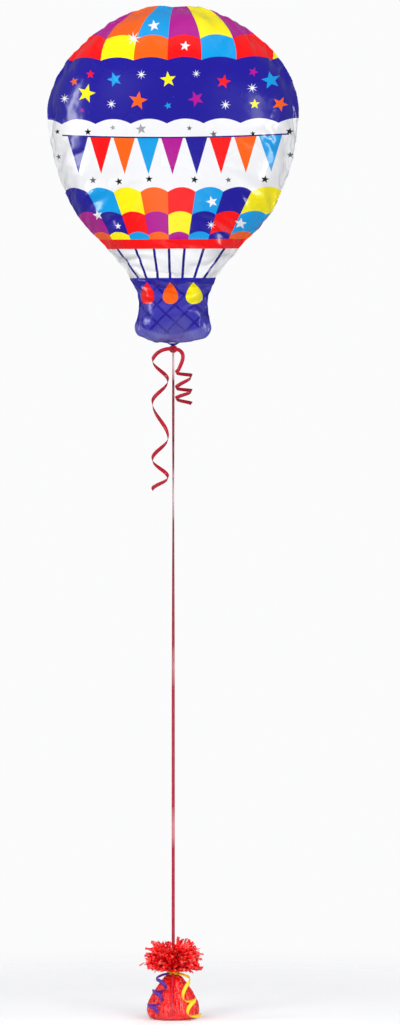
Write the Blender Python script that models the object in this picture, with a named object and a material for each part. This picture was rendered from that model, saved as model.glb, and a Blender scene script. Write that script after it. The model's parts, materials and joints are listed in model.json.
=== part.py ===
# A foil party balloon in the shape of a hot air balloon, on its ribbon and its tinsel-wrapped weight.
# Metres, +Z up, the printed front towards -Y. The origin is the bulb's centre of lift in the seam plane.

import math

import bmesh
import bpy
import numpy as np
from mathutils import Matrix, Vector

# Foil: two films welded along a flat rim. Heights are from the origin.
FOIL_TOP = 0.2106
FOIL_BOTTOM = -0.4446
BULB_HALF_WIDTH = 0.2440
BULB_HALF_DEPTH = 0.1400
BULB_DEPTH_Z = 0.0200
WAIST_HALF_WIDTH = 0.0673
WAIST_HALF_DEPTH = 0.0620
WAIST_Z = -0.3729
BASKET_HALF_WIDTH = 0.0756
BASKET_Z = -0.4195
RIM_WIDTH = 0.0055

# The seam's outer edge from the top pole to the bottom one: (half width, height), with handles.
OUTLINE = [
    ((0.0, FOIL_TOP), None, (0.1153, 0.0)),
    ((BULB_HALF_WIDTH, 0.0), (0.0, 0.1120), (0.0, -0.0881)),
    ((0.1816, -0.2032), (0.0224, 0.0259), (-0.0374, -0.0432)),
    ((0.0841, -0.3185), (0.0241, 0.0443), (-0.0134, -0.0246)),
    ((WAIST_HALF_WIDTH, WAIST_Z), (0.0, 0.0211), (0.0, -0.0168)),
    ((BASKET_HALF_WIDTH, BASKET_Z), (0.0, 0.0143), (0.0, -0.0150)),
    ((0.0, FOIL_BOTTOM), (0.0386, 0.0), None),
]

# How far the film stands out from the seam plane, on the centre line: (depth, height), with handles.
DEPTH = [
    ((0.0, FOIL_TOP - RIM_WIDTH), None, (0.0850, 0.0)),
    ((BULB_HALF_DEPTH, BULB_DEPTH_Z), (0.0, 0.0950), (0.0, -0.1250)),
    ((0.0700, -0.3250), (0.0260, 0.0520), (-0.0080, -0.0160)),
    ((WAIST_HALF_DEPTH, WAIST_Z), (0.0, 0.0160), (0.0, -0.0200)),
    ((0.0, FOIL_BOTTOM + RIM_WIDTH), (0.0440, 0.0), None),
]
CURVE_STEPS = 24
FILM = 0.0006
SEAM_GAP = 0.0003
SECTION_POWER = 2.7
FOIL_ROWS = 34
FOIL_COLUMNS = 20

# Every piece keeps this gap to the piece that it touches.
GAP = 0.0003

# Filling neck below the rim, gathered into a bunch.
NECK_HALF_WIDTH = 0.0120
NECK_TOP = FOIL_BOTTOM - GAP
BUNCH_TOP = -0.4502
BUNCH_END = -0.4560
BUNCH_RADIUS = 0.0035

# Ribbon tie. All that hangs from it turns about this height on the balloon's centre line.
TIE_Z = -0.4555
WRAP_TOP = -0.4506
WRAP_RADIUS = 0.0065
WRAP_BORE = 0.0040
KNOT_INNER = 0.0070
KNOT_OUTER = 0.0086
KNOT_RIM_ANGLE = math.radians(62)

# Ribbon: a flat strip from the tie to the weight, and two curled tails beside it.
RIBBON_WIDTH = 0.0050
RIBBON_THICKNESS = 0.0004
LINE_TOP = TIE_Z - 0.0090
LEAD_Z = TIE_Z - 0.0116
LEAD_START = 0.0030
LEFT_CURL = {"x": -0.0255, "y": 0.0, "radius": 0.0165, "top": -0.4760, "bottom": -0.7330}
RIGHT_CURL = {"x": 0.0215, "y": 0.0, "radius": 0.0175, "top": -0.4992, "bottom": -0.5790}
LEFT_LEAD = [
    (-LEAD_START, 0.0, LEAD_Z),
    (-0.0120, 0.0, LEAD_Z),
    (-0.0250, 0.0, LEAD_Z - 0.0004),
    (-0.0335, 0.0, LEAD_Z - 0.0018),
    (-0.0372, 0.0, LEAD_Z - 0.0048),
    (-0.0375, 0.0, LEFT_CURL["top"] + GAP + 0.0018),
    (-0.0375, 0.0, LEFT_CURL["top"] + GAP),
]
RIGHT_LEAD = [
    (LEAD_START, 0.0, LEAD_Z),
    (0.0120, -0.0005, LEAD_Z - 0.0008),
    (0.0185, -0.0030, LEAD_Z - 0.0080),
    (0.0150, -0.0060, LEAD_Z - 0.0180),
    (0.0110, -0.0060, LEAD_Z - 0.0260),
    (0.0105, -0.0060, RIGHT_CURL["top"] + GAP + 0.0020),
    (0.0105, -0.0060, RIGHT_CURL["top"] + GAP),
]
LEAD_POINTS = 14

# Weight: a shredded foil wrapper gathered at its waist over a heavy block.
WAIST_TIE_Z = -1.6690
BASE_Z = -1.7610
WAIST_RADIUS = 0.0095
WAIST_TIE_RADIUS = 0.0115
WEIGHT_KNOT_RADIUS = 0.0040
FUNNEL_RADIUS = 0.0045
FUNNEL_SLOPE = 0.56
LINE_BOTTOM = WAIST_TIE_Z + 0.0044
BURST_FOOT = 0.0060
BURST_TOP = 0.0580
BURST_RADIUS = 0.0610
BURST_SHREDS = 20
BURST_NOTCH = 0.16
# The spray's outer side from the waist up: (radius, rise above the waist).
BURST_PROFILE = [
    (WAIST_RADIUS, -0.0002),
    (0.0300, 0.0010),
    (0.0520, 0.0030),
    (0.0600, 0.0120),
    (BURST_RADIUS, 0.0270),
    (0.0560, 0.0460),
    (0.0480, 0.0563),
]
SKIRT_TOP = WAIST_TIE_Z - BURST_FOOT - GAP
SKIRT_RADIUS = 0.0510
# The wrapper's outer side below the waist, from the top down: (radius, height).
SKIRT_PROFILE = [
    (WAIST_RADIUS, SKIRT_TOP),
    (0.0165, -1.6800),
    (0.0260, -1.6950),
    (0.0370, -1.7110),
    (0.0475, -1.7305),
    (SKIRT_RADIUS, -1.7450),
    (0.0500, -1.7530),
    (0.0469, -1.7590),
    (0.0439, BASE_Z),
]
SKIRT_PLEATS = 24
SKIRT_PLEAT_DEPTH = 0.0012
BLOCK_RADIUS = 0.0300
BLOCK_HEIGHT = 0.0340

# Short curled ribbons that hang from the weight's waist, as the outer shape of each curl.
WAIST_CURLS = {
    "purple": {"azimuth": math.radians(240), "start_r": 0.0378, "start_z": -1.6850, "length": 0.0660},
    "yellow": {"azimuth": math.radians(308), "start_r": 0.0378, "start_z": -1.6850, "length": 0.0720},
}
WAIST_CURL_RADIUS = 0.0130
WAIST_CURL_LEAN = math.radians(31)
WAIST_LEAD_Z = WAIST_TIE_Z - 0.0034
WAIST_TAIL_AZIMUTH = math.radians(272)
WAIST_TAIL_RADIUS = 0.0025
WAIST_TAIL_STANDOFF = 0.0034

COLOURS = {
    "foil_print": ((0.023, 0.016, 0.352), 0.25, 0.2),
    "ribbon_crimson": ((0.578, 0.017, 0.045), 0.35, 0.0),
    "ribbon_purple": ((0.080, 0.012, 0.240), 0.35, 0.0),
    "ribbon_yellow": ((0.956, 0.533, 0.020), 0.35, 0.0),
    "tinsel_red": ((0.680, 0.008, 0.010), 0.28, 0.5),
    "weight_core": ((0.250, 0.250, 0.260), 0.60, 0.0),
}


def clear_scene():
    for old in list(bpy.data.objects):
        bpy.data.objects.remove(old, do_unlink=True)


def make_material(name):
    colour, roughness, metallic = COLOURS[name]
    material = bpy.data.materials.new(name)
    material.use_nodes = True
    shader = material.node_tree.nodes["Principled BSDF"]
    shader.inputs["Base Color"].default_value = (*colour, 1.0)
    shader.inputs["Roughness"].default_value = roughness
    shader.inputs["Metallic"].default_value = metallic
    return material


def make_empty(name, height):
    empty = bpy.data.objects.new(name, None)
    empty.empty_display_size = 0.02
    empty.location.z = height
    bpy.context.scene.collection.objects.link(empty)
    return empty


def place(obj, material, pivot=None):
    """Links the object. Its mesh is in world coordinates so far, and moves with its pivot's origin."""
    bpy.context.scene.collection.objects.link(obj)
    obj.data.materials.append(material)
    if pivot is not None:
        obj.parent = pivot
        obj.data.transform(Matrix.Translation(-pivot.location))
    return obj


def finish_mesh(shape, name, smooth_angle=35):
    bmesh.ops.recalc_face_normals(shape, faces=shape.faces)
    mesh = bpy.data.meshes.new(name)
    shape.to_mesh(mesh)
    shape.free()
    mesh.shade_smooth()
    mesh.set_sharp_from_angle(angle=math.radians(smooth_angle))
    return bpy.data.objects.new(name, mesh)


def bezier_chain(knots, steps=CURVE_STEPS):
    """Points along cubic curves. A knot is (point, handle in, handle out), with handles from the point."""
    points = [Vector(knots[0][0])]
    for (start, _, leave), (end, arrive, _) in zip(knots, knots[1:]):
        a, d = Vector(start), Vector(end)
        b, c = a + Vector(leave), d + Vector(arrive)
        for step in range(1, steps + 1):
            t = step / steps
            u = 1 - t
            points.append(a * u**3 + b * 3 * u * u * t + c * 3 * u * t * t + d * t**3)
    return points


def even_points(points, count):
    """Resamples a polyline into count points, evenly spaced along it."""
    table = np.array([tuple(point) for point in points])
    steps = np.linalg.norm(np.diff(table, axis=0), axis=1)
    along = np.concatenate([[0.0], np.cumsum(steps)])
    wanted = np.linspace(0.0, along[-1], count)
    return [Vector(row) for row in zip(*(np.interp(wanted, along, column) for column in table.T))]


def turn(profile, segments):
    """Turns (radius, height) points about Z. The profile starts and ends on the axis, or is closed."""
    shape = bmesh.new()
    corners = [shape.verts.new((radius, 0.0, height)) for radius, height in profile]
    on_axis = profile[0][0] == 0.0
    pairs = list(zip(corners, corners[1:]))
    if not on_axis:
        pairs.append((corners[-1], corners[0]))
    edges = [shape.edges.new(pair) for pair in pairs]
    bmesh.ops.spin(
        shape,
        geom=corners + edges,
        cent=(0, 0, 0),
        axis=(0, 0, 1),
        angle=2 * math.pi,
        steps=segments,
        use_merge=True,
    )
    bmesh.ops.remove_doubles(shape, verts=shape.verts, dist=1e-6)
    return shape


def foil_depth(height):
    """How far the film stands out from the seam plane, on the centre line."""
    chain = bezier_chain(DEPTH)
    heights = [-point[1] for point in chain]
    return float(np.interp(-height, heights, [point[0] for point in chain]))


def foil_surface(shape, side, skin):
    """Adds one face of a film: the dome, and the flat rim round it. skin is its depth below the outer face.
    Returns the rim's free edge, all the way round."""
    edge_line = even_points(bezier_chain(OUTLINE), FOIL_ROWS + 1)
    face_y = SEAM_GAP / 2 + FILM - skin
    rows = []
    for index, point in enumerate(edge_line):
        if index in (0, FOIL_ROWS):
            away = Vector((0.0, 1.0 if index == 0 else -1.0))
        else:
            along = edge_line[index + 1] - edge_line[index - 1]
            away = Vector((-along[1], along[0])).normalized()
        width, height = point - away * (RIM_WIDTH + skin)
        if index in (0, FOIL_ROWS):
            rows.append([shape.verts.new((0.0, side * face_y, height))])
            continue
        row = []
        for column in range(FOIL_COLUMNS + 1):
            across = -math.cos(math.pi * column / FOIL_COLUMNS)
            rise = (foil_depth(height) - skin) * max(0.0, 1 - abs(across) ** SECTION_POWER) ** 0.5
            row.append(shape.verts.new((width * across, side * (face_y + rise), height)))
        rows.append(row)
    for upper, lower in zip(rows, rows[1:]):
        for column in range(FOIL_COLUMNS):
            quad = [upper[min(column, len(upper) - 1)], upper[min(column + 1, len(upper) - 1)]]
            quad += [lower[min(column + 1, len(lower) - 1)], lower[min(column, len(lower) - 1)]]
            shape.faces.new(list(dict.fromkeys(quad)))
    dome_edge = [row[-1] for row in rows] + [row[0] for row in rows[-2:0:-1]]
    edge_line += [Vector((-point[0], point[1])) for point in edge_line[-2:0:-1]]
    free_edge = [shape.verts.new((point[0], side * face_y, point[1])) for point in edge_line]
    add_band(shape, dome_edge, free_edge)
    return free_edge


def add_band(shape, first, second):
    """Joins two closed loops of equal length with a band of faces."""
    count = len(first)
    for index in range(count):
        after = (index + 1) % count
        shape.faces.new([first[index], first[after], second[after], second[index]])


def make_foil(name, side, material):
    """One film of the balloon. side is -1 for the front and 1 for the back."""
    shape = bmesh.new()
    outside = foil_surface(shape, side, 0.0)
    inside = foil_surface(shape, side, FILM)
    add_band(shape, outside, inside)
    place(finish_mesh(shape, name, 50), material)


def make_filling_neck(material):
    """The flat tail of film below the rim, lofted into the round bunch that the ribbon grips."""
    sections = [
        (NECK_TOP, NECK_HALF_WIDTH, FILM),
        (NECK_TOP - 0.0012, NECK_HALF_WIDTH * 0.86, FILM * 1.5),
        (NECK_TOP - 0.0034, BUNCH_RADIUS * 1.7, BUNCH_RADIUS * 0.6),
        (BUNCH_TOP, BUNCH_RADIUS, BUNCH_RADIUS),
        (BUNCH_END, BUNCH_RADIUS, BUNCH_RADIUS),
    ]
    sides = 20
    shape = bmesh.new()
    loops = []
    for height, half_width, half_thickness in sections:
        loop = bmesh.ops.create_circle(shape, segments=sides, radius=1.0)["verts"]
        for vert in loop:
            vert.co = Vector((vert.co.x * half_width, vert.co.y * half_thickness, height))
        loops.append(loop)
    for upper, lower in zip(loops, loops[1:]):
        add_band(shape, upper, lower)
    shape.faces.new(loops[0])
    shape.faces.new(loops[-1])
    place(finish_mesh(shape, "filling_neck"), material)


def arc(radius, start, end, steps):
    """(radius, height) points of a circle about the origin. Angles are from straight down."""
    angles = [start + (end - start) * step / steps for step in range(steps + 1)]
    return [(radius * math.sin(angle), -radius * math.cos(angle)) for angle in angles]


def make_neck_wrap(material):
    """Ribbon wound round the bunch and closed under it, with a round end for the knot to turn on."""
    bowl = [(radius, TIE_Z + height) for radius, height in arc(WRAP_RADIUS, 0.0, math.pi / 2, 8)]
    bowl[0] = (0.0, bowl[0][1])
    profile = bowl + [
        (WRAP_RADIUS * 0.96, WRAP_TOP - 0.0008),
        (WRAP_RADIUS * 0.86, WRAP_TOP),
        (WRAP_BORE, WRAP_TOP),
        (WRAP_BORE, BUNCH_END - GAP),
        (0.0, BUNCH_END - GAP),
    ]
    place(finish_mesh(turn(profile, 28), "neck_wrap"), material)


def make_tie_knot(material, pivot):
    """The knot under the wrap, hollowed to turn about the wrap's round end."""
    outside = [(radius, TIE_Z + height) for radius, height in arc(KNOT_OUTER, 0.0, KNOT_RIM_ANGLE, 8)]
    inside = [(radius, TIE_Z + height) for radius, height in arc(KNOT_INNER, KNOT_RIM_ANGLE, 0.0, 8)]
    outside[0] = (0.0, outside[0][1])
    inside[-1] = (0.0, inside[-1][1])
    place(finish_mesh(turn(outside + inside, 28), "tie_knot"), material, pivot)


def make_ribbon_line(material, pivot):
    shape = bmesh.new()
    bmesh.ops.create_cube(shape, size=1.0)
    size = (RIBBON_WIDTH, RIBBON_THICKNESS, LINE_TOP - LINE_BOTTOM)
    bmesh.ops.scale(shape, vec=size, verts=shape.verts)
    bmesh.ops.translate(shape, vec=(0.0, 0.0, (LINE_TOP + LINE_BOTTOM) / 2), verts=shape.verts)
    place(finish_mesh(shape, "ribbon_line"), material, pivot)


def smooth_route(points, count):
    """Evenly spaced points on a Catmull-Rom curve through the route's own points."""
    route = [Vector(point) for point in points]
    route = [2 * route[0] - route[1], *route, 2 * route[-1] - route[-2]]
    fine = []
    for a, b, c, d in zip(route, route[1:], route[2:], route[3:]):
        for step in range(12):
            t = step / 12
            curve = (2 * a - 5 * b + 4 * c - d) * t * t + (3 * b - a - 3 * c + d) * t**3
            fine.append(b + (c - a) * t / 2 + curve / 2)
    fine.append(route[-2])
    return even_points(fine, count)


def make_tube(name, points, radius, material, pivot):
    curve = bpy.data.curves.new(name, "CURVE")
    curve.dimensions = "3D"
    curve.bevel_depth = radius
    curve.bevel_resolution = 3
    curve.use_fill_caps = True
    spline = curve.splines.new("POLY")
    spline.points.add(len(points) - 1)
    for spot, point in zip(spline.points, points):
        spot.co = (*(Vector(point) - pivot.location), 1.0)
    tube = bpy.data.objects.new(name, curve)
    bpy.context.scene.collection.objects.link(tube)
    curve.materials.append(material)
    tube.parent = pivot


def make_curl(name, curl, material, pivot):
    """The outer shape of a helix of ribbon that hangs straight down."""
    shape = bmesh.new()
    height = curl["top"] - curl["bottom"]
    bmesh.ops.create_cone(
        shape, cap_ends=True, segments=24, radius1=curl["radius"], radius2=curl["radius"], depth=height
    )
    bmesh.ops.translate(shape, vec=(curl["x"], curl["y"], curl["bottom"] + height / 2), verts=shape.verts)
    place(finish_mesh(shape, name), material, pivot)


def funnel_radius(rise):
    return FUNNEL_RADIUS + FUNNEL_SLOPE * max(0.0, rise)


def make_burst(material, pivot):
    """The spray of shreds above the waist, open in the middle so that the ribbon can lean."""
    cup = arc(FUNNEL_RADIUS, 0.0, math.pi / 2, 5)
    cup[0] = (0.0, cup[0][1])
    profile = cup + [(funnel_radius(rise), rise) for rise in (BURST_TOP / 2, BURST_PROFILE[-1][1])]
    profile += [(funnel_radius(BURST_TOP) + 0.0015, BURST_TOP), *reversed(BURST_PROFILE)]
    profile += [(WAIST_RADIUS, -BURST_FOOT), (0.0, -BURST_FOOT)]
    steps = BURST_SHREDS * 2
    shape = turn([(radius, WAIST_TIE_Z + rise) for radius, rise in profile], steps)
    for vert in shape.verts:
        radius = math.hypot(vert.co.x, vert.co.y)
        rise = vert.co.z - WAIST_TIE_Z
        step = round(math.atan2(vert.co.y, vert.co.x) / (2 * math.pi / steps))
        if step % 2 and radius > funnel_radius(rise) + 0.006 and radius > 0.02:
            vert.co.x *= 1 - BURST_NOTCH
            vert.co.y *= 1 - BURST_NOTCH
    place(finish_mesh(shape, "wrapper_burst", 25), material, pivot)


def make_skirt(material, pivot):
    """The gathered wrapper below the waist, with a pocket from below for the block."""
    pocket = BLOCK_RADIUS + GAP
    ceiling = BASE_Z + BLOCK_HEIGHT + GAP
    profile = [(0.0, SKIRT_TOP), *SKIRT_PROFILE, (pocket, BASE_Z), (pocket, ceiling), (0.0, ceiling)]
    steps = SKIRT_PLEATS * 2
    shape = turn(profile, steps)
    for vert in shape.verts:
        radius = math.hypot(vert.co.x, vert.co.y)
        step = round(math.atan2(vert.co.y, vert.co.x) / (2 * math.pi / steps))
        if step % 2 and radius > BLOCK_RADIUS + 0.004:
            vert.co.x *= 1 - SKIRT_PLEAT_DEPTH / radius
            vert.co.y *= 1 - SKIRT_PLEAT_DEPTH / radius
    place(finish_mesh(shape, "wrapper_skirt", 25), material, pivot)


def make_block(material, pivot):
    shape = bmesh.new()
    bmesh.ops.create_cone(
        shape, cap_ends=True, segments=40, radius1=BLOCK_RADIUS, radius2=BLOCK_RADIUS, depth=BLOCK_HEIGHT
    )
    bmesh.ops.translate(shape, vec=(0.0, 0.0, BASE_Z + BLOCK_HEIGHT / 2), verts=shape.verts)
    place(finish_mesh(shape, "weight_block"), material, pivot)


def make_weight_knot(material, pivot):
    shape = bmesh.new()
    bmesh.ops.create_icosphere(shape, subdivisions=3, radius=WEIGHT_KNOT_RADIUS)
    bmesh.ops.translate(shape, vec=(0.0, 0.0, WAIST_TIE_Z), verts=shape.verts)
    place(finish_mesh(shape, "weight_knot"), material, pivot)


def make_waist_tie(material, pivot):
    """The ring of ribbon that gathers the wrapper at its waist."""
    inner, outer = WAIST_RADIUS + GAP, WAIST_TIE_RADIUS
    top, bottom = WAIST_TIE_Z - 0.0010, WAIST_TIE_Z - 0.0062
    middle = (top + bottom) / 2
    profile = [
        (inner, bottom),
        (outer - 0.0006, bottom),
        (outer, middle - 0.0012),
        (outer, middle + 0.0012),
        (outer - 0.0006, top),
        (inner, top),
    ]
    place(finish_mesh(turn(profile, 32), "waist_tie"), material, pivot)


def make_waist_curl(colour, material, pivot):
    """The outer shape of a curl that leans on the skirt."""
    curl = WAIST_CURLS[colour]
    outwards = Vector((math.cos(curl["azimuth"]), math.sin(curl["azimuth"]), 0.0))
    lean = outwards * math.sin(WAIST_CURL_LEAN) + Vector((0.0, 0.0, -math.cos(WAIST_CURL_LEAN)))
    start = outwards * curl["start_r"] + Vector((0.0, 0.0, curl["start_z"]))
    shape = bmesh.new()
    bmesh.ops.create_cone(
        shape,
        cap_ends=True,
        segments=20,
        radius1=WAIST_CURL_RADIUS,
        radius2=WAIST_CURL_RADIUS,
        depth=curl["length"],
    )
    spin = lean.to_track_quat("Z", "Y").to_matrix().to_4x4()
    middle = Matrix.Translation(start + lean * curl["length"] / 2)
    bmesh.ops.transform(shape, matrix=middle @ spin, verts=shape.verts)
    place(finish_mesh(shape, f"waist_curl_{colour}"), material, pivot)
    lead = [
        outwards * (WAIST_TIE_RADIUS + 0.0007) + Vector((0.0, 0.0, WAIST_LEAD_Z)),
        outwards * (WAIST_TIE_RADIUS + 0.0065) + Vector((0.0, 0.0, WAIST_LEAD_Z)),
        outwards * (WAIST_TIE_RADIUS + 0.0155) + Vector((0.0, 0.0, WAIST_LEAD_Z - 0.0010)),
        outwards * (curl["start_r"] - 0.0045) + Vector((0.0, 0.0, WAIST_LEAD_Z - 0.0055)),
        start - lean * 0.0030,
        start - lean * GAP * 1.5,
    ]
    make_tube(f"waist_lead_{colour}", smooth_route(lead, LEAD_POINTS), RIBBON_WIDTH / 2, material, pivot)


def make_waist_tail(material, pivot):
    """The ribbon's cut end, which runs down the skirt."""
    outwards = Vector((math.cos(WAIST_TAIL_AZIMUTH), math.sin(WAIST_TAIL_AZIMUTH), 0.0))
    reach = [
        (WAIST_TIE_RADIUS + 0.0007, WAIST_TIE_Z - 0.0034),
        (WAIST_TIE_RADIUS + 0.0045, WAIST_TIE_Z - 0.0036),
        (WAIST_TIE_RADIUS + 0.0090, WAIST_TIE_Z - 0.0100),
    ]
    reach += [(radius + WAIST_TAIL_STANDOFF, height + 0.0010) for radius, height in SKIRT_PROFILE[2:7]]
    route = [outwards * radius + Vector((0.0, 0.0, height)) for radius, height in reach]
    make_tube("waist_tail", smooth_route(route, 18), WAIST_TAIL_RADIUS, material, pivot)


def main():
    clear_scene()
    materials = {name: make_material(name) for name in COLOURS}
    crimson = materials["ribbon_crimson"]
    make_foil("foil_front", -1, materials["foil_print"])
    make_foil("foil_back", 1, materials["foil_print"])
    make_filling_neck(materials["foil_print"])
    make_neck_wrap(crimson)

    neck_pivot = make_empty("neck_pivot", TIE_Z)
    make_tie_knot(crimson, neck_pivot)
    make_ribbon_line(crimson, neck_pivot)
    make_tube("lead_left", smooth_route(LEFT_LEAD, LEAD_POINTS), RIBBON_WIDTH / 2, crimson, neck_pivot)
    make_tube("lead_right", smooth_route(RIGHT_LEAD, LEAD_POINTS), RIBBON_WIDTH / 2, crimson, neck_pivot)
    make_curl("curl_left", LEFT_CURL, crimson, neck_pivot)
    make_curl("curl_right", RIGHT_CURL, crimson, neck_pivot)

    weight_pivot = make_empty("weight_pivot", WAIST_TIE_Z)
    make_weight_knot(crimson, weight_pivot)
    make_burst(materials["tinsel_red"], weight_pivot)
    make_skirt(materials["tinsel_red"], weight_pivot)
    make_block(materials["weight_core"], weight_pivot)
    make_waist_tie(materials["ribbon_yellow"], weight_pivot)
    make_waist_curl("purple", materials["ribbon_purple"], weight_pivot)
    make_waist_curl("yellow", materials["ribbon_yellow"], weight_pivot)
    make_waist_tail(crimson, weight_pivot)


main()
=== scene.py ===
# Foil party balloon in the outline of a hot air balloon, with its curled ribbon and its tinsel weight.
# Metres, +Z up. The printed front faces -Y, and the origin is the middle of the bulb.
import json
import math
import bmesh
import bpy
import numpy as np
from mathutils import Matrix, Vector
from mathutils.geometry import delaunay_2d_cdt


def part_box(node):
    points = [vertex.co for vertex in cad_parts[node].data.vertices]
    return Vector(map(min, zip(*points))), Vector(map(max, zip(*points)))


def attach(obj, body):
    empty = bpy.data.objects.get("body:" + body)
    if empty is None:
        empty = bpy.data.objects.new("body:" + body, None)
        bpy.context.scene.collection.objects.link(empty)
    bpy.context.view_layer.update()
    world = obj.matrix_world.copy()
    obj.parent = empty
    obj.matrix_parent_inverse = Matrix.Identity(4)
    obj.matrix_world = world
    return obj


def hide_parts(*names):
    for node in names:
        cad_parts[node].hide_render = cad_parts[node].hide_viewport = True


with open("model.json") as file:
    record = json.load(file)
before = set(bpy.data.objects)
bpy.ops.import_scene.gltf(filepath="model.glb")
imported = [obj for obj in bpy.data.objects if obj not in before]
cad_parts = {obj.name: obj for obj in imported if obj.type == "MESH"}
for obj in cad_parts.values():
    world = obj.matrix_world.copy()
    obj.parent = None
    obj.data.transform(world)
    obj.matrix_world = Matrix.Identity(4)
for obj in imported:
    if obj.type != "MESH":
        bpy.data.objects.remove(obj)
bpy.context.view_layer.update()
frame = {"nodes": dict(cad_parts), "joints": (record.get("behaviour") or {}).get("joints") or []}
tieZ = frame["joints"][0]["pos_m"][2]  # the ribbon turns here, under the neck
waistZ = frame["joints"][2]["pos_m"][2]  # the weight turns here, in the middle of its spray
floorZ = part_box("weight_block")[0].z


# A socket that takes Python's own operators, so that a mask reads as a formula.
class Field:
    def __init__(self, paint, socket):
        self.paint, self.socket = paint, socket

    def __add__(self, other):
        return self.paint.maths("ADD", self, other)

    __radd__ = __add__

    def __sub__(self, other):
        return self.paint.maths("SUBTRACT", self, other)

    def __rsub__(self, other):
        return self.paint.maths("SUBTRACT", other, self)

    def __mul__(self, other):
        return self.paint.maths("MULTIPLY", self, other)

    __rmul__ = __mul__

    def __truediv__(self, other):
        return self.paint.maths("DIVIDE", self, other)

    def __rtruediv__(self, other):
        return self.paint.maths("DIVIDE", other, self)

    def __pow__(self, other):
        return self.paint.maths("POWER", self, other)

    def __abs__(self):
        return self.paint.maths("ABSOLUTE", self)

    def __lt__(self, other):
        return self.paint.maths("LESS_THAN", self, other)

    def __gt__(self, other):
        return self.paint.maths("GREATER_THAN", self, other)


# One material. Constants go straight onto the shader's own sockets.
class Paint:
    def __init__(self, name, **constants):
        self.material = bpy.data.materials.new(name)
        self.material.use_nodes = True
        self.tree = self.material.node_tree
        self.shader = self.tree.nodes["Principled BSDF"]
        for key, value in constants.items():
            self.shader.inputs[key.replace("_", " ")].default_value = value

    def feed(self, socket, value):
        if isinstance(value, Field):
            self.tree.links.new(value.socket, socket)
        else:
            socket.default_value = value

    def node(self, kind, settings=None, sockets=None, output=0):
        made = self.tree.nodes.new("ShaderNode" + kind)
        for key, value in (settings or {}).items():
            if key == "stops":
                fillRamp(made.color_ramp, value)
            elif key == "interpolation":
                made.color_ramp.interpolation = value
            else:
                setattr(made, key, value)
        for key, value in (sockets or {}).items():
            self.feed(made.inputs[key], value)
        return Field(self, made.outputs[output])

    def maths(self, operation, *values):
        return self.node("Math", {"operation": operation}, dict(enumerate(values)))

    def mix(self, factor, base, over):
        return self.node("Mix", {"data_type": "RGBA"}, {0: factor, 6: base, 7: over}, 2)

    def axes(self, vector):
        split = self.node("SeparateXYZ", {}, {0: vector})
        return [Field(self, socket) for socket in split.socket.node.outputs]

    def surface(self, **inputs):
        for key, value in inputs.items():
            self.feed(self.shader.inputs[key.replace("_", " ")], value)
        return self.material

    def bump(self, height, strength, distance):
        return self.node("Bump", {}, {"Height": height, "Strength": strength, "Distance": distance})


def fillRamp(ramp, stops):
    for position, colour in stops[2:]:
        ramp.elements.new(position)
    for element, (position, colour) in zip(ramp.elements, stops):
        element.position, element.color = position, colour


# Screen colours, 0 to 255, as the linear colour that a shader takes.
def ink(red, green, blue):
    linear = [((c / 255 + 0.055) / 1.055) ** 2.4 if c > 10 else c / 3295 for c in (red, green, blue)]
    return (*linear, 1.0)


inks = {
    "indigo": ink(26, 16, 152),
    "night": ink(20, 12, 128),
    "sky": ink(0, 158, 230),
    "magenta": ink(180, 8, 146),
    "orange": ink(255, 98, 0),
    "yellow": ink(255, 240, 0),
    "red": ink(252, 0, 2),
    "white": ink(242, 242, 244),
    "black": ink(20, 20, 24),
    "grey": ink(96, 98, 104),
    "silver": ink(160, 161, 166),
}

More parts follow.
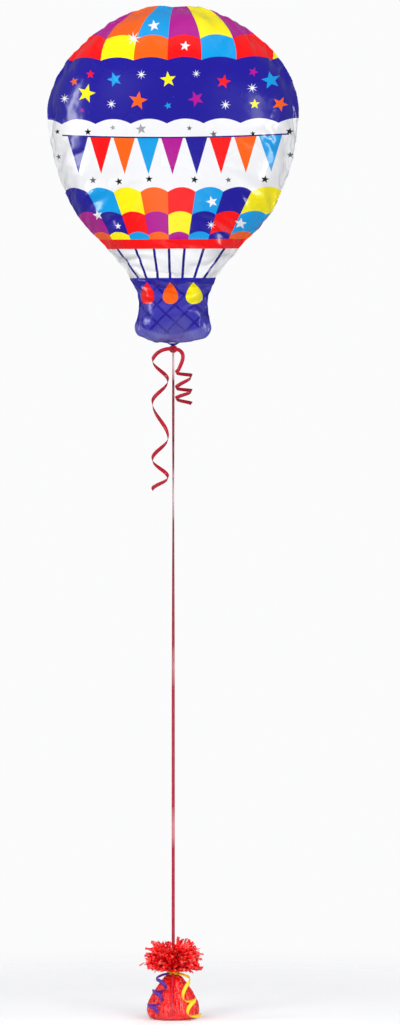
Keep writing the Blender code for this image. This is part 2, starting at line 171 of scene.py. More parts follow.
# The print, in metres from the origin as the front shows it, with rimTop the top of a painted reflection along the
# basket's lower rim. Each row's colours run from left to right.
foilPrint = {
    "topPitch": 0.0655, "topCentre": 0.1092, "topReach": 0.1125,
    "lowPitch": 0.0535, "lowFrom": -0.146, "lowTaper": 0.165,
    "midPitch": 0.0700,
    "topRow": (0.1480, 0.0085, ["magenta", "magenta", "orange", "sky", "magenta", "yellow", "magenta", "magenta"]),
    "secondRow": ["red", "red", "yellow", "orange", "red", "sky", "red", "yellow"],
    "bandTop": (0.1067, 0.0063),
    "whiteTop": (-0.0168, 0.0094),
    "rows": [
        (-0.1500, 0.0092, ["indigo", "sky", "yellow", "orange", "red", "sky", "indigo", "yellow"]),
        (-0.1948, 0.0070, ["magenta", "indigo", "red", "magenta", "yellow", "indigo", "red", "sky"]),
        (-0.2340, 0.0065, ["orange", "yellow", "sky", "orange", "magenta", "sky", "indigo", "orange"]),
    ],
    "redBand": -0.2422, "rigging": -0.2607, "basket": -0.3175, "basketBand": -0.3300, "rimTop": -0.4240,
    "riggingLines": [(0.0, 0.0), (0.0236, 0.107), (0.0463, 0.349), (0.0640, 0.700)],  # foot, and lean
    "lattice": (0.0360, 0.0347, -0.0092, -0.3872),
    "drops": [(-0.0465, "red"), (0.0, "orange"), (0.0443, "yellow")],
    "dropTop": -0.3258, "dropHeight": 0.0429, "dropHalf": 0.0150,
    "pennants": {"middle": 0.0095, "top": -0.0440, "drop": 0.0720, "pitch": 0.0465, "count": 9, "sag": 0.12,
                 "colours": ["indigo", "red", "orange", "sky", "magenta", "indigo", "red", "orange", "sky"]},
    # place, radius, turn in degrees, points, ink
    "stars": [
        (-0.0300, 0.1745, 0.0115, 12, 5, "white"), (0.0328, 0.1342, 0.0104, -8, 5, "white"),
        (-0.0677, 0.1497, 0.0150, 10, 8, "white"),
        (-0.1509, 0.0805, 0.0090, 0, 5, "red"), (-0.1847, 0.0663, 0.0090, 15, 5, "orange"),
        (-0.1583, 0.0429, 0.0190, -14, 5, "yellow"), (-0.1667, 0.0099, 0.0056, 20, 5, "magenta"),
        (-0.2042, 0.0333, 0.0105, 0, 8, "white"),
        (0.1632, 0.0825, 0.0095, -20, 5, "magenta"), (0.1958, 0.0663, 0.0178, 12, 5, "sky"),
        (0.1620, 0.0513, 0.0106, 10, 8, "white"), (0.1665, 0.0199, 0.0104, 0, 5, "yellow"),
        (0.2129, 0.0199, 0.0150, -25, 5, "orange"),
        (-0.1020, 0.0700, 0.0150, 18, 5, "sky"), (-0.0560, 0.0280, 0.0190, -10, 5, "orange"),
        (0.0020, 0.0690, 0.0160, 6, 5, "yellow"), (0.0560, 0.0310, 0.0160, 24, 5, "magenta"),
        (0.1080, 0.0640, 0.0140, -12, 5, "red"), (-0.0500, 0.0790, 0.0100, 0, 8, "white"),
        (0.0560, 0.0800, 0.0085, 14, 8, "white"), (-0.1080, 0.0220, 0.0100, 8, 8, "white"),
        (0.1120, 0.0190, 0.0105, 0, 8, "white"), (0.0020, 0.0180, 0.0075, 20, 5, "sky"),
        (-0.2204, -0.0310, 0.0060, 8, 5, "black"), (-0.1552, -0.0320, 0.0076, 0, 5, "black"),
        (-0.1055, -0.0240, 0.0058, 14, 5, "silver"), (-0.0503, -0.0271, 0.0110, 8, 5, "silver"),
        (0.0429, -0.0262, 0.0056, -6, 5, "grey"), (0.0891, -0.0380, 0.0072, 10, 5, "grey"),
        (0.1630, -0.0372, 0.0054, 4, 5, "black"), (0.2295, -0.0335, 0.0074, -10, 5, "black"),
        (-0.2204, -0.0800, 0.0060, 10, 5, "grey"), (0.2293, -0.0790, 0.0066, 0, 5, "grey"),
        (-0.1470, -0.1264, 0.0076, 0, 5, "grey"), (-0.0950, -0.1293, 0.0080, 15, 5, "black"),
        (-0.0359, -0.1246, 0.0076, 0, 5, "black"), (0.0515, -0.1264, 0.0078, -12, 5, "black"),
        (0.1160, -0.1273, 0.0062, 8, 5, "grey"), (0.1839, -0.1264, 0.0080, -10, 5, "black"),
        (0.0842, -0.1697, 0.0115, 14, 5, "white"), (0.0815, -0.2151, 0.0095, 0, 8, "white"),
        (0.1363, -0.2120, 0.0115, -10, 5, "white"), (-0.1392, -0.1942, 0.0105, 12, 5, "white"),
        (-0.0989, -0.2161, 0.0066, 0, 5, "white"),
    ],
}


# A straight-sided star: one of its points is folded out and compared with its edge.
def starMask(paint, x, z, place, radius, turn, points):
    half = math.pi / points
    inner = 0.42 if points == 5 else 0.24
    edge = (1 - inner * math.cos(half), inner * math.sin(half))
    tilt = math.atan2(edge[0], edge[1])
    reach = radius * math.cos(tilt)
    dx, dz = x - place[0], z - place[1]
    angle = paint.maths("ARCTAN2", dx, dz) + math.radians(turn)
    folded = paint.maths("PINGPONG", angle, half)
    away = paint.maths("SQRT", dx * dx + dz * dz)
    return away * paint.maths("COSINE", folded - tilt) < reach


def goreRow(paint, gore, names):
    stops = [(k / len(names), inks[name]) for k, name in enumerate(names)]
    return paint.node(
        "ValToRGB", {"stops": stops, "interpolation": "CONSTANT"}, {0: (gore + len(names) / 2) / len(names)}
    )


def archOf(paint, gore, power=2.0):
    across = abs(paint.maths("FRACT", gore) * 2 - 1)
    return 1 - across ** power


def paintFoil():
    settings = foilPrint
    paint = Paint("printedFoil", Specular_IOR_Level=0.5, Coat_Weight=0.35, Coat_Roughness=0.14)
    x, z, _ = paint.axes(paint.node("UVMap", {"uv_map": "print"}))
    x, z = x - 0.5, z - 0.5
    high = (z - settings["topCentre"]) / settings["topReach"]
    topGore = x / (settings["topPitch"] * paint.maths("SQRT", paint.maths("MAXIMUM", 1 - high * high, 0.05)))
    lowGore = x / (settings["lowPitch"] + settings["lowTaper"] * (z - settings["lowFrom"]))
    midGore = x / settings["midPitch"]
    topArch, midArch, lowArch = (archOf(paint, gore) for gore in (topGore, midGore, lowGore))

    level, rise, names = settings["topRow"]
    colour = goreRow(paint, topGore, names)
    colour = paint.mix(z < level + rise * topArch, colour, goreRow(paint, topGore, settings["secondRow"]))
    level, rise = settings["bandTop"]
    colour = paint.mix(z < level + rise * topArch, colour, inks["indigo"])
    level, rise = settings["whiteTop"]
    colour = paint.mix(z < level + rise * midArch, colour, inks["white"])

    flags = settings["pennants"]
    aside = x - flags["middle"]
    spot = aside / flags["pitch"] + flags["count"] / 2
    string = flags["top"] + flags["sag"] * aside * aside
    down = (string - z) / flags["drop"]
    inside = (abs(paint.maths("FRACT", spot) - 0.5) < 0.46 * (1 - down)) * (down > 0)
    inside = inside * (abs(aside) < flags["pitch"] * flags["count"] / 2)
    colour = paint.mix(inside, colour, goreRow(paint, spot - flags["count"] / 2, flags["colours"]))
    colour = paint.mix((abs(z - string) < 0.0014) * (abs(aside) < 0.219), colour, inks["night"])

    for level, rise, names in settings["rows"]:
        colour = paint.mix(z < level + rise * lowArch, colour, goreRow(paint, lowGore, names))
    colour = paint.mix(z < settings["redBand"], colour, inks["red"])
    colour = paint.mix(z < settings["rigging"], colour, inks["white"])
    above = z - settings["basket"]
    lines = 0.0
    for foot, lean in settings["riggingLines"]:
        lines = lines + (abs(abs(x) - foot - lean * above) < 0.0025)
    colour = paint.mix((lines > 0.5) * (z < settings["rigging"]), colour, inks["night"])

    wide, tall, crossX, crossZ = settings["lattice"]
    rightUp = paint.maths("FRACT", (x - crossX) / wide + (z - crossZ) / tall)
    leftUp = paint.maths("FRACT", (x - crossX) / wide - (z - crossZ) / tall)
    lattice = paint.maths("MAXIMUM", abs(rightUp - 0.5), abs(leftUp - 0.5)) > 0.415
    wicker = paint.mix(lattice, ink(58, 52, 172), ink(30, 20, 146))
    # Painted reflection: a paler band along the basket's crinkled lower rim, where the film would mirror the lamps.
    rimReflection = paint.maths("MINIMUM", (settings["rimTop"] + 4 * x * x - z) / 0.006, 1.0)
    wicker = paint.mix(paint.maths("MAXIMUM", rimReflection, 0.0) * 0.8, wicker, ink(104, 102, 190))
    wicker = paint.mix(z > settings["basketBand"], wicker, ink(22, 12, 158))
    colour = paint.mix(z < settings["basket"], colour, wicker)
    fall = (settings["dropTop"] - z) / settings["dropHeight"]
    girth = fall * paint.maths("SQRT", paint.maths("MAXIMUM", 1 - fall, 0.0)) * (settings["dropHalf"] / 0.385)
    for place, name in settings["drops"]:
        colour = paint.mix(abs(x - place) < girth, colour, inks[name])
    for cx, cz, radius, turn, points, name in settings["stars"]:
        colour = paint.mix(starMask(paint, x, z, (cx, cz), radius, turn, points), colour, inks[name])

    # The film's own fine creases, closest at the basket, and a finish that is a little uneven.
    place = paint.node("TexCoord", {}, {}, 3)
    fine = paint.node("TexNoise", {}, {"Vector": place, "Scale": 70.0, "Detail": 3.0, "Roughness": 0.55})
    close = paint.node("TexNoise", {}, {"Vector": place, "Scale": 170.0, "Detail": 2.0, "Distortion": 0.6})
    broad = paint.node("TexNoise", {}, {"Vector": place, "Scale": 16.0, "Detail": 2.0})
    return paint.surface(
        Base_Color=colour,
        Roughness=0.2 + 0.12 * broad,
        Normal=paint.bump(fine + close * (0.2 + 1.8 * (z < settings["basket"])), 0.3, 0.0012),
    )


def paintTail():
    paint = Paint("foilTail", Metallic=0.15, Coat_Weight=0.5, Coat_Roughness=0.06)
    place = paint.node("TexCoord", {}, {}, 3)
    creases = paint.node("TexNoise", {}, {"Vector": place, "Scale": 260.0, "Detail": 2.0})
    # Painted shade: the indigo darkens towards night along the crease noise that also raises the bump.
    colour = paint.mix(creases, inks["indigo"], inks["night"])
    return paint.surface(Base_Color=colour, Roughness=0.2 + 0.2 * creases, Normal=paint.bump(creases, 0.5, 0.001))


# Curling ribbon: satin, with fine lengthwise ribs, a colour that drifts at random and pales on its ribs and edges. Its
# last argument lists painted highlights, pale stretches where the taut ribbon would mirror a lamp, as (middle, half
# length, strength) from its top.
def paintRibbon(name, base, pale, paintedSheen=()):
    paint = Paint(name, Specular_IOR_Level=0.3, Coat_Weight=0.35, Coat_Roughness=0.15)
    across, along, _ = paint.axes(paint.node("UVMap", {"uv_map": "ribbon"}))
    ribs = paint.maths("SINE", across * (2 * math.pi * 9))
    place = paint.node("TexCoord", {}, {}, 3)
    drift = paint.node("TexNoise", {}, {"Vector": place, "Scale": 45.0, "Detail": 2.0})
    edges = abs(across - 0.5) > 0.44
    colour = paint.mix(drift * 0.6 + 0.1 * ribs, base, pale)
    colour = paint.mix(edges * 0.25, colour, pale)
    # Painted highlights: each pale stretch fades the colour towards pale pink, as if the ribbon mirrored a lamp there.
    for middle, reach, strength in paintedSheen:
        paintedHighlight = 1 - paint.maths("MINIMUM", abs(along - middle) / reach, 1.0)
        colour = paint.mix(paintedHighlight ** 0.6 * strength, colour, ink(244, 200, 204))
    wear = paint.node("TexNoise", {}, {"Vector": place, "Scale": 220.0, "Detail": 2.0})
    height = ribs * 0.5 + 0.3 * wear + 0.02 * paint.maths("SINE", along * 400)
    return paint.surface(Base_Color=colour, Roughness=0.26 + 0.16 * wear, Normal=paint.bump(height, 0.35, 0.0004))


# Shredded foil: each strip has a tone of its own at random, kept in an attribute; the wrapper under the shreds gets a
# low one, as painted shade.
def paintTinsel():
    paint = Paint("tinselRed", Specular_IOR_Level=0.9, Coat_Weight=0.2, Coat_Roughness=0.1)
    shade = paint.node("Attribute", {"attribute_name": "shade"}, {}, 2)
    place = paint.node("TexCoord", {}, {}, 3)
    crinkle = paint.node("TexNoise", {}, {"Vector": place, "Scale": 190.0, "Detail": 3.0})
    facets = paint.node("TexVoronoi", {"feature": "F1"}, {"Vector": place, "Scale": 240.0})
    # Painted glints and shade: light strips run to pink-white where the crinkle noise, which also raises the bump, is
    # high, and the red darkens where it is low.
    stops = [(0.0, ink(206, 2, 8)), (0.25, ink(246, 4, 10)), (0.70, ink(255, 16, 14)), (1.0, ink(255, 140, 128))]
    colour = paint.node("ValToRGB", {"stops": stops}, {0: shade * 0.75 + 0.45 * crinkle - 0.1})
    return paint.surface(
        Base_Color=colour, Metallic=0.1 * shade, Roughness=0.16 + 0.2 * crinkle,
        Normal=paint.bump(crinkle + 1.5 * facets, 0.7, 0.0018),
    )


def paintBlock():
    paint = Paint("ballast", Metallic=0.7)
    place = paint.node("TexCoord", {}, {}, 3)
    grain = paint.node("TexNoise", {}, {"Vector": place, "Scale": 300.0, "Detail": 4.0})
    patches = paint.node("TexNoise", {}, {"Vector": place, "Scale": 40.0, "Detail": 2.0})
    colour = paint.mix(patches, ink(120, 120, 124), ink(84, 82, 84))
    return paint.surface(Base_Color=colour, Roughness=0.45 + 0.25 * grain, Normal=paint.bump(grain, 0.4, 0.001))


materials = {
    "foil": paintFoil(),
    "tail": paintTail(),
    "crimson": paintRibbon("ribbonCrimson", ink(176, 14, 38), ink(212, 36, 62)),
    # The taut ribbon carries painted highlights: pale stretches where it would mirror a lamp.
    "taut": paintRibbon("ribbonTaut", ink(146, 14, 40), ink(182, 40, 62),
                        [(0.020, 0.034, 0.9), (0.275, 0.052, 0.85), (0.610, 0.040, 0.3), (0.925, 0.040, 0.3)]),
    "purple": paintRibbon("ribbonPurple", ink(68, 14, 126), ink(98, 36, 158)),
    "yellow": paintRibbon("ribbonYellow", ink(248, 190, 4), ink(255, 216, 44)),
    "tinsel": paintTinsel(),
    "block": paintBlock(),
}
print("materials made")

# The camera looks along the photograph's own line of sight, level with the middle of the whole.
lookout = {"azimuth": 4.6, "distance": 9.0, "middleZ": -0.7751, "aside": 0.0522, "shownHeight": 1.99875}


def placeCamera():
    settings = lookout
    turn = math.radians(settings["azimuth"])
    sideways = Vector((math.cos(turn), math.sin(turn), 0.0))
    back = Vector((math.sin(turn), -math.cos(turn), 0.0))
    lens = bpy.data.cameras.new("camera")
    lens.sensor_fit = "VERTICAL"
    lens.sensor_height = lens.sensor_width = 36.0
    lens.lens = 36.0 * settings["distance"] / settings["shownHeight"]
    lens.clip_end = 200.0
    camera = bpy.data.objects.new("camera", lens)
    camera.location = sideways * settings["aside"] + back * settings["distance"] + Vector((0, 0, settings["middleZ"]))
    camera.rotation_mode = "QUATERNION"
    camera.rotation_quaternion = (-back).to_track_quat("-Z", "Y")
    bpy.context.scene.collection.objects.link(camera)
    bpy.context.scene.camera = camera


placeCamera()


def addPiece(name, mesh, material, body, nodes=()):
    piece = bpy.data.objects.new(name, mesh)
    bpy.context.scene.collection.objects.link(piece)
    mesh.materials.append(material)
    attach(piece, body)
    if nodes:
        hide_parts(*nodes)
    return piece


def meshFrom(shape, name, smooth=True):
    mesh = bpy.data.meshes.new(name)
    shape.to_mesh(mesh)
    shape.free()
    if smooth:
        mesh.shade_smooth()
    return mesh


# Ribbon routes: a smooth line at even steps, with the way that the flat side faces along it.
def smoothLine(points, facings, spacing=0.0016, blur=3):
    points, facings = np.array(points, float), np.array(facings, float)
    along = np.r_[0, np.cumsum(np.linalg.norm(np.diff(points, axis=0), axis=1))]
    steps = int(round(along[-1] / spacing))
    even = np.linspace(0, along[-1], steps + 1)
    line = np.stack([np.interp(even, along, column) for column in points.T], 1)
    face = np.stack([np.interp(even, along, column) for column in facings.T], 1)
    for _ in range(blur):
        line[1:-1] = (line[:-2] + 2 * line[1:-1] + line[2:]) / 4
        face[1:-1] = (face[:-2] + 2 * face[1:-1] + face[2:]) / 4
    return line, face


# Points round a straight axis. climb pairs a count of turns with how far along the axis they have come, and
# flare opens the ribbon like a cone.
def coil(start, along, first, radius, climb, hand=1, perTurn=30, flare=0.5):
    start, along, first = Vector(start), Vector(along).normalized(), Vector(first).normalized()
    second = along.cross(first) * hand
    turns, heights = zip(*climb)
    points, facings = [], []
    for t in np.linspace(0, turns[-1], int(turns[-1] * perTurn) + 1):
        outwards = first * math.cos(2 * math.pi * t) + second * math.sin(2 * math.pi * t)
        points.append(start + along * float(np.interp(t, turns, heights)) + outwards * radius)
        facings.append(outwards + along * flare)
    return points, facings


# A flat ribbon: one edge across it is drawn along the route, then given its thickness.
def ribbonMesh(name, line, face, width, thickness=0.0003, cut=0.0):
    shape = bmesh.new()
    uv = shape.loops.layers.uv.new("ribbon")
    sideways = shape.verts.layers.float.new("across")
    onwards = shape.verts.layers.float.new("along")
    tangents = np.gradient(line, axis=0)
    across = np.cross(tangents, face)
    across /= np.linalg.norm(across, axis=1)[:, None]
    tangents /= np.linalg.norm(tangents, axis=1)[:, None]
    along = np.r_[0, np.cumsum(np.linalg.norm(np.diff(line, axis=0), axis=1))]
    pair = [shape.verts.new(Vector(line[0])), shape.verts.new(Vector(line[0]))]
    edge = shape.edges.new(pair)
    for index, (point, side) in enumerate(zip(line, across)):
        if index:
            grown = bmesh.ops.extrude_edge_only(shape, edges=[edge])["geom"]
            edge = next(item for item in grown if isinstance(item, bmesh.types.BMEdge))
            fresh = [item for item in grown if isinstance(item, bmesh.types.BMVert)]
            pair = sorted(fresh, key=lambda vert: vert[sideways])
        skew = cut if index == len(line) - 1 else 0.0
        for vert, sign in zip(pair, (-1, 1)):
            vert.co = Vector(point + side * sign * width / 2 + tangents[index] * skew * sign)
            vert[sideways], vert[onwards] = (sign + 1) / 2, along[index]
    for corner in (loop for panel in shape.faces for loop in panel.loops):
        corner[uv].uv = (corner.vert[sideways], corner.vert[onwards])
    bmesh.ops.recalc_face_normals(shape, faces=shape.faces)
    bmesh.ops.solidify(shape, geom=shape.faces[:], thickness=thickness)
    return meshFrom(shape, name)


ribbonWidth = 0.0050

# Each curled tail: its way over the knot, then its coil. Lengths are along the ribbon.
curls = {
    "curlLeft": {
        "lead": [(-0.0005, -0.0104, -0.4562), (-0.0080, -0.0102, -0.4560), (-0.0165, -0.0088, -0.4572),
                 (-0.0250, -0.0064, -0.4604), (-0.0330, -0.0038, -0.4658), (-0.0388, -0.0015, -0.4728)],
        "leadFacing": (0.0, -1.0, 0.1), "axis": (-0.0255, 0.0, -0.4790), "along": (0, 0, -1), "first": (-1, 0, 0),
        "climb": [(0, 0), (0.5, 0.040), (1, 0.083), (1.5, 0.152), (2, 0.194), (2.5, 0.229), (3, 0.252)],
        "radius": 0.0160, "hand": 1, "width": 0.0074, "length": 0.44,
        "body": "ribbon", "finish": "crimson", "nodes": ["lead_left", "curl_left"],
    },
    "curlRight": {
        "lead": [(0.0005, -0.0112, -0.4566), (0.0070, -0.0114, -0.4566), (0.0140, -0.0112, -0.4590),
                 (0.0195, -0.0112, -0.4650), (0.0205, -0.0118, -0.4735), (0.0178, -0.0128, -0.4830),
                 (0.0138, -0.0134, -0.4920)],
        "leadFacing": (0.0, -1.0, 0.1), "axis": (0.0205, 0.0, -0.4990), "along": (0, 0, -1), "first": (-0.6, -0.8, 0),
        "climb": [(0, 0), (0.1, 0.0035), (0.6, 0.0085), (1.1, 0.0335), (1.6, 0.0385), (2.1, 0.0537), (2.6, 0.0636)],
        "radius": 0.0160, "hand": 1, "width": 0.0074, "length": 0.32,
        "body": "ribbon", "finish": "crimson", "nodes": ["lead_right", "curl_right"],
    },
}


# A curl that leans out over the skirt. It begins on one side, towards sideways, and climb is as for coil.
def waistCurl(azimuth, sideways, climb):
    turn, lean = math.radians(azimuth), math.radians(31)
    out = Vector((math.cos(turn), math.sin(turn), 0.0))
    along = out * math.sin(lean) - Vector((0, 0, math.cos(lean)))
    side = Vector((sideways, 0, 0))
    first = (side - along * along.dot(side)).normalized()
    axis = out * 0.0378 + Vector((0, 0, -1.6850))
    begin = axis + first * 0.0125
    lead = [out * 0.0122 + Vector((0, 0, -1.6724)), out * 0.0170 + Vector((0, 0, -1.6724))]
    lead.append(lead[1].lerp(begin, 0.45) + Vector((sideways * 0.001, 0.001, 0.0022)))
    lead.append(lead[1].lerp(begin, 0.80) + Vector((sideways * 0.001, 0.001, 0.0022)))
    return {
        "lead": lead, "leadFacing": (0, -0.6, 1), "axis": axis, "along": along, "first": first, "climb": climb,
        "radius": 0.0125, "hand": sideways, "width": 0.0070, "body": "weight",
    }


curls["curlPurple"] = waistCurl(240, -1, [(0, 0), (0.5, 0.013), (1, 0.025), (1.5, 0.0392), (2, 0.0575), (2.5, 0.0660)]) | {
    "length": 0.23, "finish": "purple", "nodes": ["waist_lead_purple", "waist_curl_purple"],
}
curls["curlYellow"] = waistCurl(308, 1, [(0, 0), (0.5, 0.036), (1, 0.0435), (1.5, 0.0670), (2, 0.0770)]) | {
    "length": 0.21, "finish": "yellow", "nodes": ["waist_lead_yellow", "waist_curl_yellow"],
}


def makeCord(name, line, face, width, body, finish, nodes):
    piece = addPiece(name, ribbonMesh(name, line, face, width, cut=0.0012), materials[finish], body,
                     nodes)
    real = float(np.linalg.norm(np.diff(line, axis=0), axis=1).sum())
    print(f"{name} is {real:.3f} m long")


def makeCurls():
    for name, curl in curls.items():
        points, facings = coil(curl["axis"], curl["along"], curl["first"], curl["radius"], curl["climb"], curl["hand"])
        lead = [Vector(point) for point in curl["lead"]]
        line, face = smoothLine(lead + points, [Vector(curl["leadFacing"])] * len(lead) + facings, blur=10)
        makeCord(name, line, face, curl["width"], curl["body"], curl["finish"], curl["nodes"])


# The ribbon's cut end lies down the front of the skirt.
def makeTail():
    turn = math.radians(272)
    out = Vector((math.cos(turn), math.sin(turn), 0.0))
    reach = [(0.0122, -1.6724), (0.0160, -1.6726), (0.0205, -1.6790), (0.0294, -1.6940), (0.0404, -1.7100),
             (0.0509, -1.7295), (0.0544, -1.7440), (0.0534, -1.7520)]
    points = [out * r + Vector((0, 0, z)) for r, z in reach]
    line, face = smoothLine(points, [out] * len(points), blur=8)
    makeCord("cutTail", line, face, ribbonWidth, "weight", "crimson", ["waist_tail"])


makeCurls()
makeTail()
print("ribbon tails made")


# The taut ribbon: it turns half away above and comes round to face the front lower down.
tautLine = {
    "width": 0.0062, "drop": [0, 0.10, 0.28, 0.42, 0.64, 0.80, 1.0, 1.22],
    "turned": [-52, -34, -58, -40, -14, 12, -10, 8],
}


def makeLine():
    settings = tautLine
    top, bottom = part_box("ribbon_line")[1].z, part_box("ribbon_line")[0].z
    heights = np.linspace(top, bottom, 240)
    angle = np.radians(np.interp(top - heights, settings["drop"], settings["turned"]))
    for _ in range(60):
        angle[1:-1] = (angle[:-2] + 2 * angle[1:-1] + angle[2:]) / 4
    line = np.stack([heights * 0, heights * 0, heights], 1)
    face = np.stack([np.sin(angle), -np.cos(angle), heights * 0], 1)
    addPiece("tautRibbon", ribbonMesh("tautRibbon", line, face, settings["width"]), materials["taut"], "ribbon",
             ["ribbon_line"])


# Ribbon wound round something: a flat coil that climbs by its own thickness.
def makeWinding(name, middle, radius, turns, finish, body, rise=0.0002, width=0.0046):
    points, facings = [], []
    for t in np.linspace(0, turns, int(turns * 36)):
        out = Vector((math.cos(2 * math.pi * t + 4.2), math.sin(2 * math.pi * t + 4.2), 0.0))
        tilt = 0.0003 * math.sin(2 * math.pi * t * 1.37)
        points.append(out * (radius + rise * t) + Vector((0, 0, middle + tilt)))
        facings.append(out)
    line, face = smoothLine(points, facings, spacing=0.0010, blur=1)
    return addPiece(name, ribbonMesh(name, line, face, width, 0.00016), materials[finish], body)


makeLine()
makeWinding("neckWinding", tieZ + 0.0027, 0.0066, 1.0, "crimson", "balloon", 0.00015, 0.0040)
makeWinding("waistWinding", waistZ - 0.0036, 0.0117, 2.6, "yellow", "weight")
print("taut ribbon made")

foil = {
    # Seam line as (half width, height) in millimetres, each with its handles towards the last and the next knot.
    "outline": [
        ((0, 210.6), (0, 0), (115.3, 0)), ((244, 0), (0, 112), (0, -88.1)), ((181.6, -203.2), (22.4, 25.9), (-37.4, -43.2)),
        ((84.1, -318.5), (24.1, 44.3), (-13.4, -24.6)), ((67.3, -372.9), (0, 21.1), (0, -16.8)),
        ((75.6, -419.5), (0, 14.3), (0, -15)), ((0, -444.6), (38.6, 0), (0, 0)),
    ],
    # How far the filled film stands out on its centre line, as (depth, height) in millimetres, with handles.
    "depth": [
        ((0, 205.1), (0, 0), (85, 0)), ((140, 20), (0, 95), (0, -125)), ((70, -325), (26, 52), (-8, -16)),
        ((62, -372.9), (0, 16), (0, -20)), ((0, -439.1), (44, 0), (0, 0)),
    ],
    "fullness": 2.7, "creases": 1.0,
    "rimWidth": 0.0055, "film": 0.0003,
    "spacing": 0.0078, "widthCut": 1.16, "heightCut": 1.13, "waistCut": 1.28,
    "frames": 25, "drawnBy": 20, "pressure": 10.0, "tension": 80.0, "compression": 6.0, "shear": 8.0, "bending": 0.3,
    "puckerOut": 0.0014, "puckerAside": 0.0026, "formRelax": 18,
    "printFlat": 0.85,
}


def bezierLine(knots, steps=40):
    points = [np.array(knots[0][0], float)]
    for (start, _, leave), (end, arrive, _) in zip(knots, knots[1:]):
        a, d = np.array(start, float), np.array(end, float)
        b, c = a + leave, d + arrive
        for t in np.linspace(0, 1, steps + 1)[1:]:
            points.append((1 - t) ** 3 * a + 3 * (1 - t) ** 2 * t * b + 3 * (1 - t) * t * t * c + t ** 3 * d)
    return np.array(points) / 1000


# Half width and depth of the filled film at each height, rim not counted.
def filledSize(z):
    seam, ridge = bezierLine(foil["outline"]), bezierLine(foil["depth"])
    z = np.clip(z, ridge[-1, 1] + 0.0002, ridge[0, 1] - 0.0002)
    half = np.interp(-z, -seam[:, 1], seam[:, 0]) - foil["rimWidth"]
    return np.maximum(half, 0.004), np.maximum(np.interp(-z, -ridge[:, 1], ridge[:, 0]), 0.002)


def ease(value):
    value = np.clip(value, 0, 1)
    return value * value * (3 - 2 * value)


# The film is cut wider than it shows, most of all at the waist, because filling it draws the sides in.
def widthCut(z):
    bulb, waist = foil["widthCut"], foil["waistCut"]
    return bulb + (waist - bulb) * (ease((-0.17 - z) / 0.17) - ease((-0.38 - z) / 0.06))


def cutSeam():
    outline = bezierLine(foil["outline"])
    slope = np.gradient(outline, axis=0)
    out = np.stack([-slope[:, 1], slope[:, 0]], 1)
    out /= np.linalg.norm(out, axis=1)[:, None]
    out[0], out[-1] = (0, 1), (0, -1)
    dome = outline - out * foil["rimWidth"]
    flat = np.stack([dome[:, 0] * widthCut(dome[:, 1]), dome[:, 1] * foil["heightCut"]], 1)
    along = np.r_[0, np.cumsum(np.linalg.norm(np.diff(flat, axis=0), axis=1))]
    even = np.linspace(0, along[-1], int(round(along[-1] / foil["spacing"])) + 1)
    half = np.stack([np.interp(even, along, column) for column in flat.T], 1)
    return np.concatenate([half, half[1:-1][::-1] * [-1, 1]])


# Points inside the seam in staggered rows, a little uneven so that creases choose their own way.
def cutPoints(seam):
    spacing, rng = foil["spacing"], np.random.default_rng(4)
    rowHeight = spacing * math.sqrt(3) / 2
    bottom, top, side = seam[:, 1].min(), seam[:, 1].max(), seam[:, 0].max()
    count = int(side / spacing) + 2
    spots = np.array([
        (k * spacing + row % 2 * spacing / 2, bottom + row * rowHeight)
        for row in range(int((top - bottom) / rowHeight) + 1) for k in range(-count, count + 1)
    ])
    spots += rng.uniform(-0.12, 0.12, spots.shape) * spacing
    x, z, inside = spots[:, 0], spots[:, 1], np.zeros(len(spots), bool)
    for (x0, z0), (x1, z1) in zip(seam, np.roll(seam, -1, 0)):
        if z0 != z1:
            inside ^= ((z0 > z) != (z1 > z)) & (x < (x1 - x0) * (z - z0) / (z1 - z0) + x0)
    spots = spots[inside]
    apart = np.linalg.norm(spots[:, None, :] - seam[None], axis=2).min(axis=1)
    return spots[apart > 0.62 * spacing]


def cutFilm():
    seam = cutSeam()
    count = len(seam)
    spots = np.concatenate([seam, cutPoints(seam)])
    ringEdges = [(k, (k + 1) % count) for k in range(count)]
    points, _, faces, origins, _, _ = delaunay_2d_cdt(
        [Vector(spot) for spot in spots], ringEdges, [list(range(count))], 1, 1e-7
    )
    flat = np.array([tuple(point) for point in points])
    rimPlace = np.array([min(origin) if origin and min(origin) < count else -1 for origin in origins])
    return flat, np.array([tuple(face) for face in faces]), rimPlace, count


